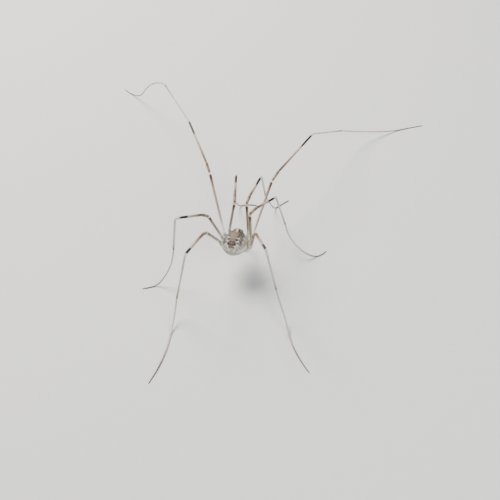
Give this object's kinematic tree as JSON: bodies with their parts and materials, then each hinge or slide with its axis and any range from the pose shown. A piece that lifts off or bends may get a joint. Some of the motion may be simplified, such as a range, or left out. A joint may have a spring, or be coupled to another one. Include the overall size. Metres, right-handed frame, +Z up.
{
  "type": "harvestman",
  "caption": "Still life-size harvestman: small oval body with an eye mound, jaws and palps, standing on long thin jointed legs.",
  "frame": {"origin": "on the floor under the middle of the model's box, feet standing on z = 0", "axes": "+Y towards the head and the two long feeler legs, +X to the animal's right, +Z up"},
  "size_m": [0.0622, 0.0696, 0.0176],
  "materials": {
    "carapace": "matt tan and purple-brown head shield, dark flecks, pale eye mound",
    "abdomen": "matt brown saddle with dark and white dots on pale grey flanks",
    "eye": "glossy black",
    "jaw": "pale horn with brown flecks and dark finger tips",
    "leg_root": "pale cream hips with small brown flecks",
    "leg": "satin grey-brown, with a near-black band before the far end of each tibia",
    "knee": "satin dark brown patella",
    "foot": "pinkish near the ankle, dark brown towards the tip"
  },
  "bodies": {
    "root": {"abdomen": "abdomen", "carapace": "carapace", "left_eye": "eye", "right_eye": "eye", "left_jaw": "jaw", "left_palp": "jaw", "left_leg_1_coxa": "leg_root", "left_leg_1_femur": "leg", "left_leg_1_patella": "knee", "left_leg_1_tibia": "leg", "left_leg_1_metatarsus": "leg", "left_leg_1_tarsus": "foot", "left_leg_2_coxa": "leg_root", "left_leg_2_femur": "leg", "left_leg_2_patella": "knee", "left_leg_2_tibia": "leg", "left_leg_2_metatarsus": "leg", "left_leg_2_tarsus": "foot", "left_leg_3_coxa": "leg_root", "left_leg_3_femur": "leg", "left_leg_3_patella": "knee", "left_leg_3_tibia": "leg", "left_leg_3_metatarsus": "leg", "left_leg_3_tarsus": "foot", "left_leg_4_coxa": "leg_root", "left_leg_4_femur": "leg", "left_leg_4_patella": "knee", "left_leg_4_tibia": "leg", "left_leg_4_metatarsus": "leg", "left_leg_4_tarsus": "foot", "right_jaw": "jaw", "right_palp": "jaw", "right_leg_1_coxa": "leg_root", "right_leg_1_femur": "leg", "right_leg_1_patella": "knee", "right_leg_1_tibia": "leg", "right_leg_1_metatarsus": "leg", "right_leg_1_tarsus": "foot", "right_leg_2_coxa": "leg_root", "right_leg_2_femur": "leg", "right_leg_2_patella": "knee", "right_leg_2_tibia": "leg", "right_leg_2_metatarsus": "leg", "right_leg_2_tarsus": "foot", "right_leg_3_coxa": "leg_root", "right_leg_3_femur": "leg", "right_leg_3_patella": "knee", "right_leg_3_tibia": "leg", "right_leg_3_metatarsus": "leg", "right_leg_3_tarsus": "foot", "right_leg_4_coxa": "leg_root", "right_leg_4_femur": "leg", "right_leg_4_patella": "knee", "right_leg_4_tibia": "leg", "right_leg_4_metatarsus": "leg", "right_leg_4_tarsus": "foot"}
  },
  "joints": []
}
